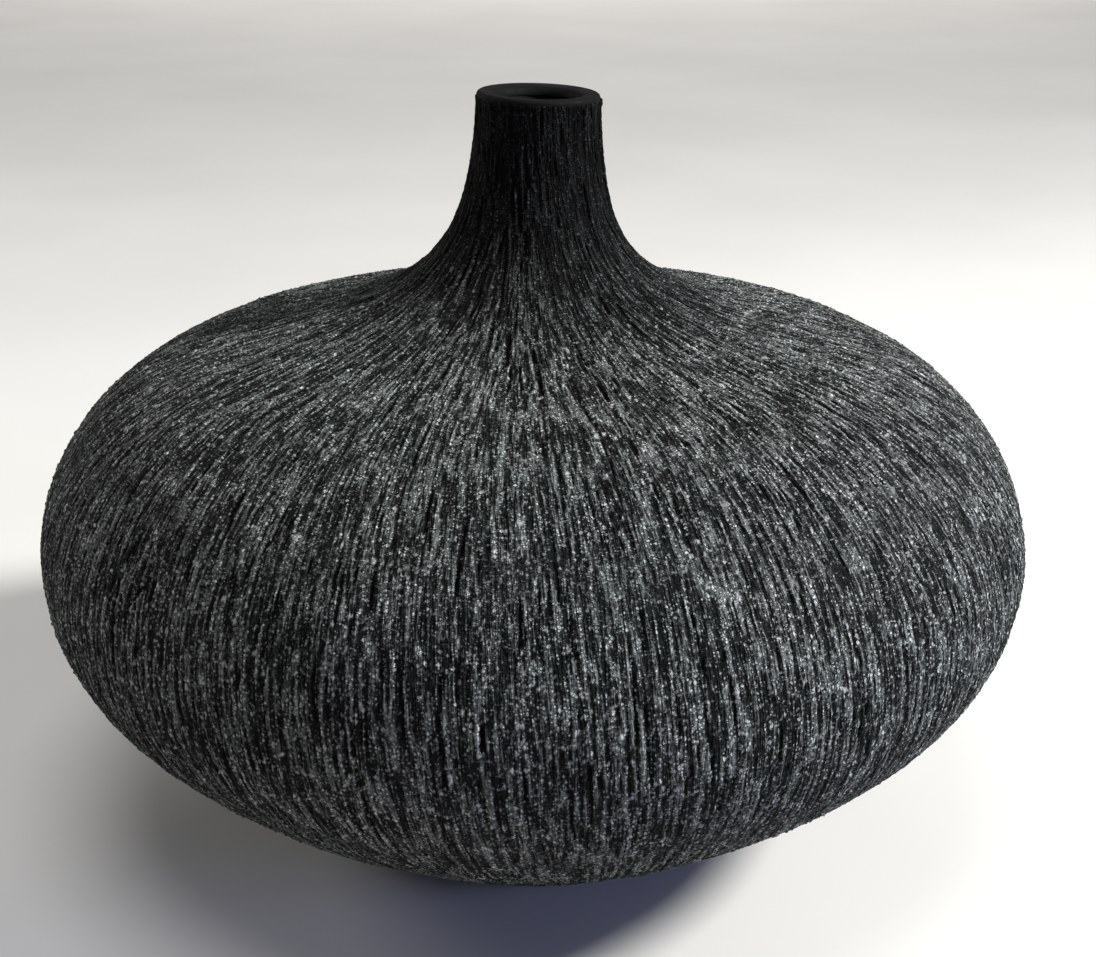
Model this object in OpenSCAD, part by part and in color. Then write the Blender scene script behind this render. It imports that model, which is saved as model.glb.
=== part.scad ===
// Squat black clay bottle vase with a narrow neck. Millimetres, +Z up, origin on the
// standing surface under the centre of the foot.
// The clay body is built up from a slab in courses that are joined edge to edge. Coils of clay
// are pressed over three of the joints inside, and coarse combed slip coats the outside.

/* [Body] */
// Outside diameter of the body at its widest line
body_d = 220; // [210:1:230]
// Height of the widest line above the standing surface
belly_z = 70; // [66:1:74]
// Diameter at which the coated outline would reach the standing surface
foot_d = 86.8; // [82:0.2:92]
// Slope of the outline where it leaves the foot, in degrees
foot_slope = 33.9; // [32:0.1:36]
// Diameter at which the shoulder turns into a straight cone
shoulder_d = 135.8; // [130:0.2:142]
// Height of the start of that cone
shoulder_z = 115.1; // [113:0.1:117]
// Slope of the cone, in degrees
shoulder_slope = 13.7; // [12:0.1:15]

/* [Neck and lip] */
// Diameter where the cone starts to sweep up into the neck
neck_root_d = 108; // [100:1:116]
// Outside diameter of the neck under the lip
neck_d = 27.4; // [26:0.1:30]
// Height of the joint between neck and lip
neck_top_z = 166.5; // [162:0.1:170]
// Outside diameter of the lip
lip_d = 27.5; // [26.4:0.1:31]
// Height of the lip
lip_h = 1.5; // [1.3:0.1:2.2]
// Radius of the lip's rounded edges
lip_round = 1.1; // [0.6:0.1:1.2]

/* [Walls] */
// Thickness of the slip coat
coat_t = 1.6; // [1.2:0.1:2]
// Thickness of the body wall with its coat
wall_t = 6; // [5.5:0.1:7]
// Thickness of the neck wall with its coat, under the lip
neck_wall_t = 4.9; // [4.5:0.1:5.3]
// Diameter of the floor slab
floor_d = 76; // [68:1:77]
// Width of the bare clay edge around the foot
foot_edge = 1.3; // [0.8:0.1:2]

/* [Joint coils] */
// How far a joint coil stands in from the wall
coil_h = 2; // [1:0.1:3]
// Curve steps that a joint coil covers on each side of its joint
coil_steps = 2; // [1:1:3]

/* [Hidden] */

$fn = 128;
steps = 16;              // bands that each curve is turned into
bare_share = 0.25;       // share of the first band, next to the foot, that has no slip
wall_joints = [5, 10];   // bands of each body curve at which a course ends
neck_joint = 3;          // band of the neck curve at which the neck is joined on
flare_joint = 9;         // band of the neck curve at which the flare ends
lip_steps = 6;           // chords in each rounded edge of the lip

belly_r = body_d / 2;
foot_r = foot_d / 2;
shoulder_r = shoulder_d / 2;
neck_root_r = neck_root_d / 2;
neck_root_z = shoulder_z + (shoulder_r - neck_root_r) * tan(shoulder_slope);
neck_r = neck_d / 2;
lip_r = lip_d / 2;
mouth_r = neck_r - neck_wall_t;
floor_r = floor_d / 2;

// Lengths of the tangents that shape each curve, as shares of the sizes they scale with
foot_pull = 0.42 * belly_r;
belly_pull_low = 0.415 * belly_z;
belly_pull_high = 0.215 * belly_z;
shoulder_pull = 0.298 * belly_r;
root_pull = 0.65 * neck_root_r;
neck_pull = 0.6 * (neck_top_z - neck_root_z);

// Outline of the coated outside, from foot to lip, as three cubic curves. The second and
// third are joined by the straight cone of the shoulder.
low_curve = [
    [foot_r, 0],
    [foot_r + foot_pull * cos(foot_slope), foot_pull * sin(foot_slope)],
    [belly_r, belly_z - belly_pull_low],
    [belly_r, belly_z]];
high_curve = [
    [belly_r, belly_z],
    [belly_r, belly_z + belly_pull_high],
    [shoulder_r + shoulder_pull * cos(shoulder_slope),
     shoulder_z - shoulder_pull * sin(shoulder_slope)],
    [shoulder_r, shoulder_z]];
neck_curve = [
    [neck_root_r, neck_root_z],
    [neck_root_r - root_pull * cos(shoulder_slope),
     neck_root_z + root_pull * sin(shoulder_slope)],
    [neck_r, neck_top_z - neck_pull],
    [neck_r, neck_top_z]];

function mix(a, b, t) = a + (b - a) * t;
function flip(list) = [for (i = [len(list) - 1:-1:0]) list[i]];
function span(list, first, last) = [for (i = [first:last]) list[i]];

// Closed outline between two layers of the same curve
function between(outer, inner, first, last) =
    concat(span(outer, first, last), flip(span(inner, first, last)));

// Point and direction on a cubic curve
function on_curve(c, t) =
    pow(1 - t, 3) * c[0] + 3 * pow(1 - t, 2) * t * c[1]
    + 3 * (1 - t) * t * t * c[2] + pow(t, 3) * c[3];
function heading(c, t) =
    let (d = pow(1 - t, 2) * (c[1] - c[0]) + 2 * (1 - t) * t * (c[2] - c[1])
             + t * t * (c[3] - c[2]))
    d / norm(d);

// Point a depth under the outside, measured square to it towards the hollow
function under(c, t, depth) =
    let (d = heading(c, t)) on_curve(c, t) + depth * [-d[1], d[0]];

// Points under a whole curve, with the depth changing evenly along it
function layer(c, depth, end_depth) =
    [for (i = [0:steps]) under(c, i / steps, mix(depth, end_depth, i / steps))];

function arc(centre, r, from, to) =
    [for (i = [0:lip_steps])
        let (a = mix(from, to, i / lip_steps)) centre + r * [cos(a), sin(a)]];

// Outside of the coat, back of the coat and inside of the wall, for each of the curves
low_outside = layer(low_curve, 0, 0);
high_outside = layer(high_curve, 0, 0);
neck_outside = layer(neck_curve, 0, 0);
low_back = layer(low_curve, coat_t, coat_t);
high_back = layer(high_curve, coat_t, coat_t);
neck_back = layer(neck_curve, coat_t, coat_t);
low_inside = layer(low_curve, wall_t, wall_t);
high_inside = layer(high_curve, wall_t, wall_t);
neck_inside = layer(neck_curve, wall_t, neck_wall_t);
floor_corner = low_inside[0];

module turned(outline) {
    rotate_extrude() polygon(outline);
}

// A coil over a joint: its back follows the wall, its face bulges by coil_h
module joint_coil(back, into) {
    last = len(back) - 1;
    face = [for (i = [last - 1:-1:1]) back[i] + coil_h * sin(180 * i / last) * into];
    turned(concat(back, face));
}

module floor_disc() {
    color([0.16, 0.16, 0.17])
        cylinder(r = floor_r, h = floor_corner[1]);
}

module bowl_base() {
    color([0.18, 0.18, 0.19])
        turned(concat([[floor_r, 0], [low_back[0][0] - foot_edge, 0]],
                      span(low_back, 0, wall_joints[0]),
                      flip(span(low_inside, 0, wall_joints[0])),
                      [[floor_r, floor_corner[1]]]));
}

module bowl_wall() {
    color([0.20, 0.20, 0.21])
        turned(between(low_back, low_inside, wall_joints[0], wall_joints[1]));
}

module lower_wall() {
    color([0.19, 0.19, 0.20])
        turned(between(low_back, low_inside, wall_joints[1], steps));
}

module upper_wall() {
    color([0.20, 0.20, 0.21])
        turned(between(high_back, high_inside, 0, wall_joints[0]));
}

module shoulder_wall() {
    color([0.18, 0.18, 0.19])
        turned(between(high_back, high_inside, wall_joints[0], wall_joints[1]));
}

module shoulder_dome() {
    color([0.19, 0.19, 0.20])
        turned(between(high_back, high_inside, wall_joints[1], steps));
}

module shoulder_collar() {
    color([0.20, 0.20, 0.21])
        turned(concat([high_back[steps]], between(neck_back, neck_inside, 0, neck_joint),
                      [high_inside[steps]]));
}

module neck_flare() {
    color([0.19, 0.19, 0.20])
        turned(between(neck_back, neck_inside, neck_joint, flare_joint));
}

module neck_tube() {
    color([0.18, 0.18, 0.19])
        turned(between(neck_back, neck_inside, flare_joint, steps));
}

module lip_ring() {
    top = neck_top_z + lip_h;
    edge = [lip_round, -lip_round];
    color([0.24, 0.24, 0.25])
        turned(concat([[mouth_r, neck_top_z], [lip_r, neck_top_z]],
                      arc([lip_r - lip_round, top - lip_round], lip_round, 0, 90),
                      arc([mouth_r, top] + edge, lip_round, 90, 180)));
}

module floor_seam_coil() {
    wall_end = low_inside[coil_steps];
    floor_end = floor_corner - [norm(wall_end - floor_corner), 0];
    fillet = [wall_end, mix(wall_end, floor_corner, 0.4),
              mix(floor_end, floor_corner, 0.4), floor_end];
    color([0.22, 0.20, 0.19])
        turned(concat(span(low_inside, 0, coil_steps),
                      [for (i = [1:lip_steps]) on_curve(fillet, i / lip_steps)]));
}

module belly_seam_coil() {
    color([0.22, 0.20, 0.19])
        joint_coil(concat(span(low_inside, steps - coil_steps, steps),
                          span(high_inside, 1, coil_steps)), [-1, 0]);
}

module neck_seam_coil() {
    color([0.22, 0.20, 0.19])
        joint_coil(span(neck_inside, neck_joint - coil_steps, neck_joint + coil_steps),
                   [0, -1]);
}

module slip_coat_lower() {
    color([0.26, 0.26, 0.28])
        turned(concat([mix(low_back[0], low_back[1], bare_share),
                       mix(low_outside[0], low_outside[1], bare_share)],
                      between(low_outside, low_back, 1, steps)));
}

module slip_coat_shoulder() {
    color([0.30, 0.30, 0.32])
        turned(concat(high_outside, between(neck_outside, neck_back, 0, neck_joint),
                      flip(high_back)));
}

module slip_coat_neck() {
    color([0.26, 0.26, 0.28])
        turned(between(neck_outside, neck_back, neck_joint, steps));
}

floor_disc();
bowl_base();
bowl_wall();
lower_wall();
upper_wall();
shoulder_wall();
shoulder_dome();
shoulder_collar();
neck_flare();
neck_tube();
lip_ring();
floor_seam_coil();
belly_seam_coil();
neck_seam_coil();
slip_coat_lower();
slip_coat_shoulder();
slip_coat_neck();
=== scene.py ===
"""Looks of a squat black clay bottle vase: coarse combed slip, smooth lip, bare clay foot."""
import math

import bpy
import numpy as np
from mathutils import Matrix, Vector


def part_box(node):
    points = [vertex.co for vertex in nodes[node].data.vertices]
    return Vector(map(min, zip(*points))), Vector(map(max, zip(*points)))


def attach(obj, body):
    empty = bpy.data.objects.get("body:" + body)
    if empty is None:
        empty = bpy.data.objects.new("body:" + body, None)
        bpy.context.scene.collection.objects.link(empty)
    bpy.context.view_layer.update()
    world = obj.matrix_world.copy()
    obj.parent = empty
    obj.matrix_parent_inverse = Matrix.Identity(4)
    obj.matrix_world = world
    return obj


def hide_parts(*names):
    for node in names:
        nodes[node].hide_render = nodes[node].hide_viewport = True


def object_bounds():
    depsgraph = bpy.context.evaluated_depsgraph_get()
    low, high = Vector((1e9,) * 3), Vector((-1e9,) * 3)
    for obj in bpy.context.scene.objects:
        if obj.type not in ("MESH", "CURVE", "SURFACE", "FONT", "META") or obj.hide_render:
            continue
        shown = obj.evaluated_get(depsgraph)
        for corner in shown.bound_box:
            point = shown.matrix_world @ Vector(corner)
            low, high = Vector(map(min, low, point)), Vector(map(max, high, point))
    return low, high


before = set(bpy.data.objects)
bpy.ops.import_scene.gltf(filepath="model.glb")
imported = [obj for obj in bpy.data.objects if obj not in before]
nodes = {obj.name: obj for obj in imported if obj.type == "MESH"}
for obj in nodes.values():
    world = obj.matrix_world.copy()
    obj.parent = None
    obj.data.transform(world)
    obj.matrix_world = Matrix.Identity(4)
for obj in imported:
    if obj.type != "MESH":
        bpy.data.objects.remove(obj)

cad_low, cad_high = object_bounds()
MM = 0.001

# Surface grids. Lengths along the surface are in millimetres.
COLUMNS = 1536            # points round the widest part, a multiple of 4
ROW_STEP = 0.5            # distance between rows of points along the outline
COAT = ["slip_coat_lower", "slip_coat_shoulder", "slip_coat_neck"]

# The neck was set on a little off true, and its mouth isn't quite level.
NECK_LEAN = 1.3           # sideways shift of the mouth, towards +X
MOUTH_TILT = 0.031        # drop of the mouth per unit of X
LIP_COVER = 0.8           # how far the slip reaches up over the side of the lip

# How much slimmer than the CAD the neck is: all the way up, and again just under the lip.
NECK_SLIM = 0.18
TOP_SLIM = 0.3
RIM_INSET = 0.55          # how far the lip's rim is in from the CAD's


# ---------------------------------------------------------------- camera, floor and lights

def add_camera(belly_r):
    """A close camera, looking down at the front of the pot. belly_r is in metres."""
    data = bpy.data.cameras.new("camera")
    data.sensor_width = 36
    data.lens = 58.87
    data.shift_x = 0.0142
    camera = bpy.data.objects.new("camera", data)
    camera.location = (0, -3.5 * belly_r, 2.035 * belly_r)
    camera.rotation_euler = (math.radians(90 - 20.446), 0, 0)
    bpy.context.scene.collection.objects.link(camera)
    bpy.context.scene.camera = camera


def add_area_light(name, place, target, size, power, colour):
    data = bpy.data.lights.new(name, "AREA")
    data.shape = "DISK"
    data.size = size
    data.energy = power
    data.color = colour
    light = bpy.data.objects.new(name, data)
    light.location = place
    light.rotation_euler = (Vector(target) - Vector(place)).to_track_quat("-Z", "Y").to_euler()
    bpy.context.scene.collection.objects.link(light)


def add_world(strength):
    world = bpy.data.worlds.new("studio")
    world.use_nodes = True
    background = world.node_tree.nodes["Background"]
    background.inputs["Color"].default_value = (0.86, 0.9, 1.0, 1)
    background.inputs["Strength"].default_value = strength
    bpy.context.scene.world = world


# ---------------------------------------------------------------- outline of the coat

def cad_outline(names, step=0.4, blur=2.0):
    """Radii and heights of the outside of the nodes, evenly spaced along it, in millimetres."""
    low = min(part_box(n)[0].z for n in names)
    high = max(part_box(n)[1].z for n in names)
    points = []
    for z in np.arange(low + 0.02 * MM, high, step * MM):
        radii = []
        for name in names:
            hit, place, _, _ = nodes[name].ray_cast(Vector((1, 0.0003, z)), Vector((-1, 0, 0)))
            if hit:
                radii.append(math.hypot(place.x, place.y))
        points.append((max(radii) / MM, z / MM))
    points = even(np.array(points), ROW_STEP)
    reach = int(4 * blur / ROW_STEP)
    weights = np.exp(-0.5 * (np.arange(-reach, reach + 1) * ROW_STEP / blur) ** 2)
    weights /= weights.sum()
    padded = np.vstack([2 * points[0] - points[reach:0:-1], points,
                        2 * points[-1] - points[-2:-reach - 2:-1]])
    smooth = np.stack([np.convolve(padded[:, k], weights, "valid") for k in (0, 1)], 1)
    return even(smooth, ROW_STEP)


def even(points, step):
    """The polyline again, with points at an even spacing close to step."""
    gaps = np.hypot(*np.diff(points, axis=0).T)
    run = np.concatenate([[0], np.cumsum(gaps)])
    at = np.linspace(0, run[-1], int(round(run[-1] / step)) + 1)
    return np.stack([np.interp(at, run, points[:, k]) for k in (0, 1)], 1)


# ---------------------------------------------------------------- relief

def ease(t):
    t = np.clip(t, 0, 1)
    return t * t * (3 - 2 * t)


class Surface:
    """The coat's outside as a grid: s runs along the outline, theta round the axis."""

    def __init__(self, outline):
        self.r, self.z = outline[:, 0], outline[:, 1]
        self.rows = len(outline)
        self.s = np.arange(self.rows) * np.hypot(*(outline[1] - outline[0]))
        self.theta = np.arange(COLUMNS) * 2 * math.pi / COLUMNS
        along = np.gradient(outline, axis=0)
        along /= np.hypot(along[:, 0], along[:, 1])[:, None]
        self.out_r, self.out_z = along[:, 1], -along[:, 0]

    def noise(self, rng, around, length):
        """Smooth noise with this many cells round the pot, each length millimetres long."""
        grid = rng.standard_normal((int(self.s[-1] / length) + 3, around))
        row = self.s / length
        i = row.astype(int)
        f = ease(row - i)[:, None]
        lines = grid[i] * (1 - f) + grid[i + 1] * f
        column = self.theta / (2 * math.pi) * around
        j = column.astype(int)
        g = ease(column - j)[None, :]
        return lines[:, j % around] * (1 - g) + lines[:, (j + 1) % around] * g

    def lean(self):
        """How far the comb strokes lean from straight up at each row, as a slope."""
        return np.tan(np.radians(-3.8 - 4.5 * ease((62 - self.z) / 35)))

    def carve(self, field, rng, count, length, width, depth, turn, bank):
        """Cuts short grooves with raised banks.

        turn is the mean and spread of their angle from the lean, in degrees.
        """
        step = 2 * math.pi / COLUMNS
        chance = np.cumsum(self.r)
        starts = np.searchsorted(chance / chance[-1], rng.random(count))
        lean = self.lean()
        for row in starts:
            half = 0.5 * length * math.exp(rng.normal(0, 0.55))
            wide = width * math.exp(rng.normal(0, 0.3))
            deep = depth * math.exp(rng.normal(0, 0.45))
            slope = lean[row] + math.tan(math.radians(rng.normal(*turn)))
            bend = rng.normal(0, 0.012) / max(half, 1)
            centre = rng.random() * 2 * math.pi
            lo = max(0, row - int(half / ROW_STEP))
            hi = min(self.rows, row + int(half / ROW_STEP) + 1)
            if hi - lo < 4:
                continue
            run = self.s[lo:hi] - self.s[row]
            r = self.r[lo:hi]
            middle = centre + (slope * run + bend * run * run) / r
            reach = int(3.6 * wide / (r.min() * step)) + 1
            index = np.round(middle / step).astype(int)[:, None] + np.arange(-reach, reach + 1)
            x = (index * step - middle[:, None]) * r[:, None] / wide
            fade = ease((1 - np.abs(run) / half) * 3)[:, None]
            cut = -np.exp(-x * x) + bank * np.exp(-((np.abs(x) - 2.1) / 0.9) ** 2)
            field[np.arange(lo, hi)[:, None], index % COLUMNS] += deep * fade * cut

    def grains(self, rng, cell, presence, radius, height, stretch):
        """Separate rounded grains: their relief, and a random number for each."""
        count = int(self.s[-1] / cell) + 3
        lattice_r = np.interp(np.arange(count) * cell, self.s, self.r)
        around = np.maximum(8, np.round(2 * math.pi * lattice_r / cell)).astype(int)
        first = np.concatenate([[0], np.cumsum(around)])
        jitter_s, jitter_a, here, size, tall, tag = rng.random((6, first[-1]))
        size = radius[0] + (radius[1] - radius[0]) * size
        tall = np.where(here < presence, height[0] + (height[1] - height[0]) * tall, 0)
        relief = np.zeros((self.rows, COLUMNS), np.float32)
        tags = np.zeros((self.rows, COLUMNS), np.float32)
        home = (self.s / cell).astype(int)
        turn = self.theta[None, :] / (2 * math.pi)
        for dk in (-1, 0, 1):
            k = np.clip(home + dk, 0, count - 1)
            n = around[k][:, None]
            at = turn * n
            base = np.floor(at).astype(int)
            for db in (-1, 0, 1):
                pick = first[k][:, None] + (base + db) % n
                dx = (at - base - db - jitter_a[pick]) * (2 * math.pi * self.r[:, None] / n)
                ds = self.s[:, None] - (k[:, None] + jitter_s[pick]) * cell
                near = 1 - (dx * dx + (ds / stretch) ** 2) / size[pick] ** 2
                bump = tall[pick] * np.clip(near, 0, 1) ** 0.7
                top = bump > relief
                relief[top] = bump[top]
                tags[top] = tag[pick][top]
        return relief, tags


def combed_relief(surface):
    """Relief of the slip coat in millimetres, and the paleness and grittiness of each point.

    The last two run from 0 to 1. The paleness is partly whitish grit, and partly painted light:
    painted shade darkens the grooves and painted highlight lightens the raised grains.
    """
    rng = np.random.default_rng(20)
    z = surface.z[:, None]
    neck_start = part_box("slip_coat_shoulder")[1].z / MM
    on_neck = ease((z - neck_start + 6) / 12)
    near_foot = 1 - ease((z - 4) / 22)
    smear = ease(0.5 + 0.42 * surface.noise(rng, 46, 13) + 0.25 * surface.noise(rng, 110, 7))
    gritty = (0.7 + 0.4 * smear) * (1 - 0.5 * on_neck) * (1 - 0.55 * near_foot)

    coarse, coarse_tag = surface.grains(rng, 1.3, 0.2, (0.34, 0.6), (0.2, 0.45), 1.2)
    fine, fine_tag = surface.grains(rng, 0.85, 0.75, (0.28, 0.42), (0.08, 0.3), 1.2)
    grit = np.maximum(coarse, fine) * gritty

    grooves = np.zeros((surface.rows, COLUMNS))
    surface.carve(grooves, rng, 6500, 6, 0.27, 0.2, (0, 2.2), 0.4)
    surface.carve(grooves, rng, 500, 15, 0.3, 0.27, (0, 1.6), 0.4)
    surface.carve(grooves, rng, 110, 9, 0.26, 0.24, (0, 34), 0.35)
    grooves = np.clip(grooves, -0.5, 0.35)

    waves = 0.16 * surface.noise(rng, 22, 26) + 0.06 * surface.noise(rng, 60, 12)
    near_lip = ease((z - surface.z[-1] + 14) / 12)
    relief = grit + grooves + waves - NECK_SLIM * on_neck - TOP_SLIM * near_lip

    # Painted shade in the grooves, and painted highlight with whitish grit on the raised grains
    pale_and_painted_shade = np.clip(0.44 + 0.42 * (grit - 0.12) + 0.65 * grooves, 0, 1)
    tag = np.where(coarse > fine, coarse_tag, fine_tag)
    bright = (tag > 0.93) & (grit > 0.1)
    pale_and_painted_shade = np.where(bright, np.clip(pale_and_painted_shade + 0.4, 0, 1), pale_and_painted_shade)
    grit_share = np.broadcast_to(1 - 0.45 * near_foot, relief.shape)
    return relief, pale_and_painted_shade, grit_share


def darker_neck_and_painted_shade(surface):
    """How bright the slip is drawn: fully on the belly, nearly black on the neck, partly as darker
    slip and partly as painted shade.
    """
    radius = np.array([0.12, 0.16, 0.27, 0.45, 0.68, 0.86])
    share = np.array([0.045, 0.12, 0.42, 1.0, 1.0, 1.0])
    above = ease((surface.z - 0.4 * cad_high.z / MM) / 20)
    return 1 + above * (np.interp(surface.r / surface.r.max(), radius, share) - 1)


# ---------------------------------------------------------------- meshes

def lean_and_tilt(points):
    """Moves points, in millimetres, to where the leaning neck has them."""
    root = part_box("slip_coat_shoulder")[1].z / MM
    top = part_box("lip_ring")[1].z / MM
    share = np.clip((points[..., 2] - root) / (top - root), 0, 1.2)
    moved = points.copy()
    moved[..., 2] -= MOUTH_TILT * points[..., 0] * ease(share)
    moved[..., 0] += NECK_LEAN * share
    return moved


def grid_faces(columns, first):
    """Faces between rows of points, where a row has as many columns as the one before or half.

    columns[i] is the number of points in row i, and first[i] is the index of its first point.
    """
    quads, triangles = [], []
    for i in range(len(columns) - 1):
        a, b = columns[i], columns[i + 1]
        if a == b:
            j = np.arange(a)
            k = (j + 1) % a
            quads.append(np.stack([first[i] + j, first[i] + k,
                                   first[i + 1] + k, first[i + 1] + j], 1))
            continue
        few, many = min(a, b), max(a, b)
        wide, narrow = (first[i], first[i + 1]) if a > b else (first[i + 1], first[i])
        j = np.arange(few)
        w0, w1, w2 = wide + 2 * j, wide + 2 * j + 1, wide + (2 * j + 2) % many
        n0, n1 = narrow + j, narrow + (j + 1) % few
        three = [(w0, w1, n0), (w1, n1, n0), (w1, w2, n1)]
        for x, y, w in three:
            triangles.append(np.stack([x, y, w] if a > b else [x, w, y], 1))
    return quads, triangles


def make_mesh(name, points, quads, triangles, normals=None, fields=None):
    """An object from points in millimetres and lists of face arrays."""
    loops = np.concatenate([f.ravel() for f in quads + triangles])
    sizes = np.concatenate([np.full(len(f), f.shape[1]) for f in quads + triangles])
    mesh = bpy.data.meshes.new(name)
    mesh.vertices.add(len(points))
    mesh.vertices.foreach_set("co", (points * MM).astype(np.float32).ravel())
    mesh.loops.add(len(loops))
    mesh.loops.foreach_set("vertex_index", loops.astype(np.int32))
    mesh.polygons.add(len(sizes))
    starts = np.concatenate([[0], np.cumsum(sizes)[:-1]])
    mesh.polygons.foreach_set("loop_start", starts.astype(np.int32))
    mesh.update(calc_edges=True)
    mesh.shade_smooth()
    for key, values in (fields or {}).items():
        vector = values.ndim == 2
        attribute = mesh.attributes.new(key, "FLOAT_VECTOR" if vector else "FLOAT", "POINT")
        flat = values.astype(np.float32).ravel()
        attribute.data.foreach_set("vector" if vector else "value", flat)
    if normals is not None:
        mesh.normals_split_custom_set_from_vertices(normals)
    piece = bpy.data.objects.new(name, mesh)
    bpy.context.scene.collection.objects.link(piece)
    return piece


def turned_points(r, z, theta):
    """Points of a turned surface. r and z are (rows, 1) or (rows, columns)."""
    shape = np.broadcast_shapes(np.shape(r), np.shape(z), (1, len(theta)))
    x = np.broadcast_to(r * np.cos(theta), shape)
    y = np.broadcast_to(r * np.sin(theta), shape)
    return np.stack([x, y, np.broadcast_to(z, shape)], -1)


def columns_at(r):
    """Points in a row of this radius: the full number, or a half or a quarter of it."""
    share = r / (cad_high.x / MM)
    return np.where(share > 0.5, COLUMNS, np.where(share > 0.26, COLUMNS // 2, COLUMNS // 4))


def make_coat(material):
    """The three pieces of the slip coat, cut from one continuous relief.

    Each is an open sheet over the clay: only its outside is made.
    """
    outline = cad_outline(COAT)
    outline[:, 1] += LIP_COVER * ease(1 - (outline[-1, 1] - outline[:, 1]) / 12)
    surface = Surface(outline)
    # The paleness carries painted shade in the grooves and painted highlight on the raised grains
    relief, pale_and_painted_shade, grit = combed_relief(surface)

    # The coat rolls in to the clay at the foot and to the lip at the top.
    start = surface.s[:, None]
    end = surface.s[-1] - start
    relief *= ease(start / 3) * (0.5 + 0.5 * ease(end / 1.6))
    for distance, roll in ((start, 1.3), (end, 0.5)):
        share = np.clip(1 - distance / roll, 0, 1)
        relief -= roll * (1 - np.sqrt(1 - share ** 2))

    r = surface.r[:, None] + surface.out_r[:, None] * relief
    z = surface.z[:, None] + surface.out_z[:, None] * relief
    points = lean_and_tilt(turned_points(r, z, surface.theta))
    along = np.gradient(points, axis=0)
    around = np.roll(points, -1, 1) - np.roll(points, 1, 1)
    normals = np.cross(around, along)
    normals /= np.linalg.norm(normals, axis=-1, keepdims=True)

    # The lean and the pace of the strokes are summed along the outline. A faster pace makes
    # grains and strokes shorter, as they are on the shoulder.
    spacing = surface.s[1]
    twist = np.concatenate([[0], np.cumsum((surface.lean() / surface.r)[:-1]) * spacing])
    pace = 0.85 + 0.4 * ease((surface.z - 0.38 * cad_high.z / MM) / 35)
    length = np.concatenate([[0], np.cumsum(pace[:-1]) * spacing])
    turn = surface.theta - twist[:, None]
    shape = (surface.rows, COLUMNS)
    comb = np.stack([np.cos(turn), np.sin(turn), np.broadcast_to(length[:, None], shape)], -1)
    # Darkening towards the neck: partly darker slip, partly painted shade
    neck_dark_and_shade = np.broadcast_to(darker_neck_and_painted_shade(surface)[:, None], shape)

    columns = columns_at(surface.r)
    breaks = [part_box(n)[1].z / MM for n in COAT[:2]]
    cuts = [0] + [int(np.searchsorted(surface.z, b)) for b in breaks] + [surface.rows - 1]
    for name, lo, hi in zip(COAT, cuts[:-1], cuts[1:]):
        counts = columns[lo:hi + 1]
        strides = COLUMNS // counts
        rows = range(lo, hi + 1)
        keep = lambda grid: np.concatenate([grid[i, ::k] for i, k in zip(rows, strides)])
        first = np.concatenate([[0], np.cumsum(counts)])
        quads, triangles = grid_faces(counts, first)
        piece = make_mesh(name + "_combed", keep(points), quads, triangles, keep(normals),
                          {"pale_and_painted_shade": keep(pale_and_painted_shade), "grit": keep(grit), "darker_neck_and_painted_shade": keep(neck_dark_and_shade),
                           "comb": keep(comb)})
        dress(piece, material, "combed_slip", name)


def dress(piece, material, slot, *replaced):
    piece.data.materials.append(material)
    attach(piece, "root")
    if replaced:
        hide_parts(*replaced)


def closed_band(name, r, z, columns, wobble, seed):
    """A closed ring: the outline of r and z turned round the axis, slightly uneven."""
    theta = np.arange(columns) * 2 * math.pi / columns
    rng = np.random.default_rng(seed)
    uneven = sum(rng.normal(0, 1 / k) * np.cos(k * theta + rng.random() * 6.28)
                 for k in range(2, 12))
    points = turned_points(r[:, None] + wobble * uneven, z[:, None], theta)
    points = lean_and_tilt(points).reshape(-1, 3)
    rows = len(r)
    first = np.arange(rows) * columns
    j = np.arange(columns)
    k = (j + 1) % columns
    quads = [np.stack([first[i] + j, first[i] + k, first[(i + 1) % rows] + k,
                       first[(i + 1) % rows] + j], 1) for i in range(rows)]
    return make_mesh(name, points, quads, [])


def quarter(r, z, radius, start):
    """Points of a quarter circle around (r, z), counted from start in degrees."""
    angle = np.radians(np.linspace(start, start + 90, 12))
    return np.stack([r + radius * np.cos(angle), z + radius * np.sin(angle)], 1)


def make_lip(material):
    """The smooth lip: its outer edge is tighter than its inner one, which dips a little."""
    low, high = (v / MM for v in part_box("lip_ring"))
    mouth = min(math.hypot(v.co.x, v.co.y) for v in nodes["lip_ring"].data.vertices) / MM
    outer, inner, dip = 0.9, 1.9, 0.15
    rim = high.x - RIM_INSET
    outline = np.vstack([
        [(rim - 0.2, low.z - 0.7), (rim, low.z)],
        quarter(rim - outer, high.z - outer, outer, 0),
        quarter(mouth - 0.1 + inner, high.z - dip - inner, inner, 90),
        [(mouth - 0.1, low.z - 0.7)]])
    piece = closed_band("lip_smoothed", outline[:, 0], outline[:, 1], 320, 0.05, 5)
    dress(piece, material, "bare_lip", "lip_ring")


def make_neck_clay(node, material):
    """Clay of the neck, leaning as its coat does, with faint finger rings inside."""
    low, high = (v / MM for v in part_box(node))
    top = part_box("lip_ring")[0].z / MM
    inside, outside = [], []
    for z in np.arange(low.z + 0.1, high.z, 0.6):
        hits = [nodes[node].ray_cast(Vector((x, 0.0003, z * MM)), Vector((way, 0, 0)))
                for x, way in ((1, -1), (0, 1))]
        if hits[0][0] and hits[1][0]:
            outside.append((math.hypot(hits[0][1].x, hits[0][1].y) / MM, z))
            inside.append((math.hypot(hits[1][1].x, hits[1][1].y) / MM, z))
    inside, outside = np.array(inside), np.array(outside)
    inside[:, 0] += 0.18 * np.sin(inside[:, 1] * 1.6) * ease((top - inside[:, 1]) / 4)
    outline = np.vstack([outside, inside[::-1]])
    piece = closed_band(node + "_leaning", outline[:, 0], outline[:, 1], 160, 0.03, 8)
    dress(piece, material, "clay", node)


# ---------------------------------------------------------------- materials

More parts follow.
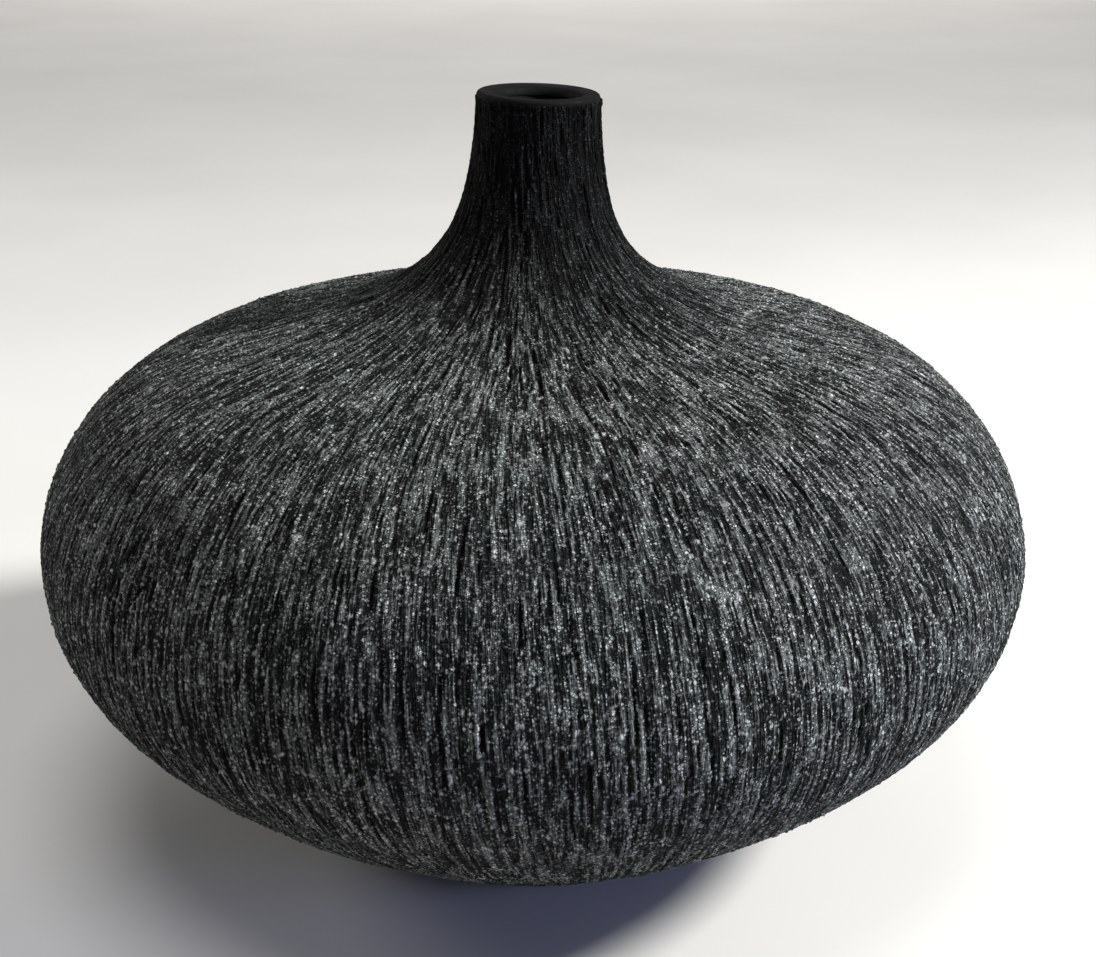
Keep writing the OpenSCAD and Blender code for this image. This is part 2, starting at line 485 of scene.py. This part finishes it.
class Shader:
    """Short ways to add nodes to one material."""

    def __init__(self, name):
        self.material = bpy.data.materials.new(name)
        self.material.use_nodes = True
        self.tree = self.material.node_tree
        self.principled = self.tree.nodes["Principled BSDF"]
        self.place = self.add("ShaderNodeTexCoord").outputs["Object"]

    def add(self, kind, **settings):
        node = self.tree.nodes.new(kind)
        for key, value in settings.items():
            setattr(node, key, value)
        return node

    def link(self, out, into):
        self.tree.links.new(out, into)

    def set(self, node, key, value):
        if isinstance(value, bpy.types.NodeSocket):
            self.link(value, node.inputs[key])
        else:
            node.inputs[key].default_value = value

    def field(self, name):
        return self.add("ShaderNodeAttribute", attribute_name=name).outputs["Fac"]

    def vector(self, x, y, z):
        node = self.add("ShaderNodeCombineXYZ")
        for key, value in zip("XYZ", (x, y, z)):
            self.set(node, key, value)
        return node.outputs[0]

    def parts(self, vector):
        node = self.add("ShaderNodeSeparateXYZ")
        self.link(vector, node.inputs[0])
        return node.outputs

    def cells(self, place, size):
        """Distance to the nearest cell centre, in cells, and three random numbers per cell."""
        node = self.add("ShaderNodeTexVoronoi", distance="MANHATTAN")
        self.link(place, node.inputs["Vector"])
        node.inputs["Scale"].default_value = 1 / size
        return node.outputs["Distance"], self.parts(node.outputs["Color"])

    def noise(self, scale, detail=3.0, rough=0.55, place=None):
        node = self.add("ShaderNodeTexNoise")
        self.link(place or self.place, node.inputs["Vector"])
        node.inputs["Scale"].default_value = scale
        node.inputs["Detail"].default_value = detail
        node.inputs["Roughness"].default_value = rough
        return node.outputs["Fac"]

    def math(self, operation, a, b=0.0, c=0.0, clamp=False):
        node = self.add("ShaderNodeMath", operation=operation, use_clamp=clamp)
        for k, value in enumerate((a, b, c)):
            self.set(node, k, value)
        return node.outputs[0]

    def spread(self, value, low, high, to_low=0.0, to_high=1.0):
        node = self.add("ShaderNodeMapRange")
        for key, v in zip(("Value", "From Min", "From Max", "To Min", "To Max"),
                          (value, low, high, to_low, to_high)):
            self.set(node, key, v)
        return node.outputs["Result"]

    def ramp(self, value, *stops):
        """A colour ramp. Each stop is (position, colour)."""
        node = self.add("ShaderNodeValToRGB")
        while len(node.color_ramp.elements) < len(stops):
            node.color_ramp.elements.new(0.5)
        for element, (at, colour) in zip(node.color_ramp.elements, stops):
            element.position = at
            element.color = (*colour, 1)
        self.link(value, node.inputs["Fac"])
        return node.outputs["Color"]

    def mix(self, factor, a, b, kind="MIX"):
        node = self.add("ShaderNodeMix", data_type="RGBA", blend_type=kind)
        self.set(node, 0, factor)
        for key, value in ((6, a), (7, b)):
            value = value if isinstance(value, bpy.types.NodeSocket) else (*value, 1)
            self.set(node, key, value)
        return node.outputs[2]

    def bump(self, height, strength, distance, normal=None):
        node = self.add("ShaderNodeBump")
        node.inputs["Strength"].default_value = strength
        node.inputs["Distance"].default_value = distance
        self.link(height, node.inputs["Height"])
        if normal is not None:
            self.link(normal, node.inputs["Normal"])
        return node.outputs["Normal"]

    def finish(self, colour, roughness, normal, specular):
        self.link(colour, self.principled.inputs["Base Color"])
        self.link(roughness, self.principled.inputs["Roughness"])
        self.link(normal, self.principled.inputs["Normal"])
        self.principled.inputs["Specular IOR Level"].default_value = specular
        return self.material


def stroke_spaces(m):
    """Two sets of coordinates along the comb strokes, in millimetres, and their blend.

    Each wraps the pot at a radius near the true one, so that grains and strokes keep their size
    from the belly to the neck. The radii step down by a fifth at a time.
    """
    belly = cad_high.x / MM
    comb = m.add("ShaderNodeAttribute", attribute_name="comb").outputs["Vector"]
    across, back, along = m.parts(comb)
    x, y, _ = m.parts(m.place)
    radius = m.math("SQRT", m.math("ADD", m.math("MULTIPLY", x, x), m.math("MULTIPLY", y, y)))
    level = m.math("LOGARITHM", m.math("DIVIDE", radius, belly * MM), 0.8)
    whole = m.math("FLOOR", level)
    blend = m.spread(m.math("SUBTRACT", level, whole), 0.3, 0.7)
    spaces = []
    for step in (0, 1):
        wrap = m.math("MULTIPLY", m.math("POWER", 0.8, m.math("ADD", whole, step)), belly)
        spaces.append((m.math("MULTIPLY", across, wrap), m.math("MULTIPLY", back, wrap), along))
    return spaces, blend


def stroke_detail(m, across, back, along):
    """Height of the grains and fine strokes, about -0.4 to 1.9, and a number for each grain."""
    drawn = m.vector(across, back, along)
    small_far, small_tag = m.cells(drawn, 0.64)
    large_far, large_tag = m.cells(drawn, 1.3)
    small = m.math("MULTIPLY", m.spread(small_far, 0.44, 0.68, 1, 0),
                   m.spread(small_tag[0], 0.12, 0.7))
    large = m.math("MULTIPLY", m.spread(large_far, 0.36, 0.56, 1, 0),
                   m.spread(large_tag[0], 0.6, 0.75))
    grain = m.math("MAXIMUM", m.math("MULTIPLY", small, 0.8), large)
    line = m.noise(0.95, 2, 0.6, m.vector(across, back, m.math("MULTIPLY", along, 0.09)))
    thin = m.noise(2.0, 1, 0.5, m.vector(across, back, m.math("MULTIPLY", along, 0.16)))
    stroke = m.math("ADD", m.spread(line, 0.4, 0.6, -0.45, 0.45),
                    m.spread(thin, 0.35, 0.65, -0.25, 0.25))
    raised = m.math("MULTIPLY", grain, m.spread(stroke, -0.5, 0.5, 0.5, 1.5))
    height = m.math("ADD", raised, m.math("MULTIPLY", stroke, 0.55))
    return height, small_tag[1]


def combed_slip():
    """Dry, coarse, dark slip: near black in the grooves as painted shade, with paler grains on
    top, partly whitish grit and partly painted highlight.
    """
    m = Shader("combed_slip")
    spaces, blend = stroke_spaces(m)
    (near, near_tag), (far, far_tag) = (stroke_detail(m, *space) for space in spaces)
    height = m.math("ADD", m.math("MULTIPLY", m.math("SUBTRACT", far, near), blend), near)
    height = m.math("MULTIPLY", height, m.field("grit"))
    tag = m.math("ADD", m.math("MULTIPLY", m.math("SUBTRACT", far_tag, near_tag), blend), near_tag)

    # Painted light: raised grains and strokes are drawn paler, partly as painted highlight, and
    # hollows darker as painted shade
    shade = m.math("ADD", m.field("pale_and_painted_shade"), m.spread(height, -0.5, 1.3, -0.4, 0.66))
    shade = m.math("ADD", shade, m.spread(m.noise(1500, 3, 0.7), 0.3, 0.7, -0.1, 0.1), clamp=True)
    shade = m.math("ADD", shade, m.spread(tag, 0, 1, -0.08, 0.08), clamp=True)
    colour = m.ramp(shade, (0.0, (0.001, 0.001, 0.001)), (0.3, (0.01, 0.0105, 0.0103)),
                    (0.5, (0.08, 0.085, 0.082)), (0.7, (0.19, 0.199, 0.193)),
                    (1.0, (0.37, 0.38, 0.37)))
    patch = m.spread(m.noise(16, 3), 0.35, 0.65)
    colour = m.mix(patch, colour, m.mix(1.0, colour, (0.86, 0.9, 0.9), "MULTIPLY"))
    # Painted shade, in part: the slip is darkened towards the neck, partly as a darker slip and
    # partly for the shade there
    colour = m.mix(m.field("darker_neck_and_painted_shade"), (0.001, 0.001, 0.001), colour)
    rough = m.spread(m.noise(900, 3), 0.3, 0.7, 0.62, 0.9)
    grit = m.bump(height, 1.0, 0.0009)
    fine = m.bump(m.noise(3600, 3, 0.6), 0.4, 0.0001, grit)
    return m.finish(colour, rough, fine, 0.03)


def bare_clay(name, tint, grain, smoothest):
    """Bare fired clay, smoothed by hand: even, dull and finely pitted.

    smoothest is the lowest roughness on it.
    """
    m = Shader(name)
    tone = m.noise(60, 5, 0.6)
    dark = tuple(0.6 * v for v in tint)
    light = tuple(1.5 * v for v in tint)
    colour = m.ramp(m.spread(tone, 0.3, 0.7), (0.0, dark), (0.5, tint), (1.0, light))
    pits = m.noise(grain, 4, 0.7)
    # Painted shade: the colour darkens in the pits
    colour = m.mix(m.spread(pits, 0.3, 0.45, 0.35, 0.0), colour, dark)
    rough = m.spread(m.noise(420, 3), 0.3, 0.7, smoothest, smoothest + 0.2)
    drag = m.bump(m.noise(240, 3), 0.25, 0.0004)
    return m.finish(colour, rough, m.bump(pits, 0.35, 0.00015, drag), 0.05)


def floor_paper():
    m = Shader("floor_paper")
    colour = m.ramp(m.noise(5, 3), (0.3, (0.5, 0.49, 0.475)), (0.7, (0.54, 0.53, 0.515)))
    rough = m.spread(m.noise(80, 3), 0.3, 0.7, 0.75, 0.9)
    return m.finish(colour, rough, m.bump(m.noise(700, 3), 0.1, 0.0002), 0.2)


# ---------------------------------------------------------------- the scene

belly_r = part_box("slip_coat_lower")[1].x
add_camera(belly_r)
add_world(0.11)
add_area_light("key", (1.0, -0.18, 0.88), (0, 0, 0.08), 0.25, 38, (1.0, 1.0, 0.96))
add_area_light("top", (-0.1, -0.25, 1.1), (0, 0, 0.08), 0.6, 7, (1.0, 1.0, 1.0))
add_area_light("left_rim", (-1.0, 0.45, 0.5), (0, 0, 0.08), 0.4, 4.5, (1.0, 0.98, 0.95))
add_area_light("backdrop", (0, 2.4, 1.9), (0, 3.4, 0), 1.5, 60, (1.0, 0.98, 0.95))
add_area_light("cool_side", (0.9, -0.5, 0.25), (0, 0, 0.06), 0.4, 5.5, (0.5, 0.56, 1.0))

slip = combed_slip()
clay = bare_clay("bare_clay", (0.009, 0.009, 0.009), 1400, 0.65)
lip = bare_clay("smooth_lip", (0.0035, 0.0037, 0.0036), 900, 0.6)
joint = bare_clay("pressed_clay", (0.045, 0.042, 0.04), 1100, 0.7)

make_coat(slip)
make_lip(lip)
for name in ("neck_flare", "neck_tube"):
    make_neck_clay(name, clay)
for name in ("floor_disc", "bowl_base", "bowl_wall", "lower_wall", "upper_wall", "shoulder_wall",
             "shoulder_dome", "shoulder_collar"):
    nodes[name].data.materials.clear()
    nodes[name].data.materials.append(clay)
for name in ("floor_seam_coil", "belly_seam_coil", "neck_seam_coil"):
    nodes[name].data.materials.clear()
    nodes[name].data.materials.append(joint)

bpy.ops.mesh.primitive_grid_add(x_subdivisions=8, y_subdivisions=8, size=9, location=(0, 2, 0))
floor = bpy.context.object
floor.name = "floor"
floor.data.materials.append(floor_paper())

bpy.context.scene.view_settings.view_transform = "Standard"
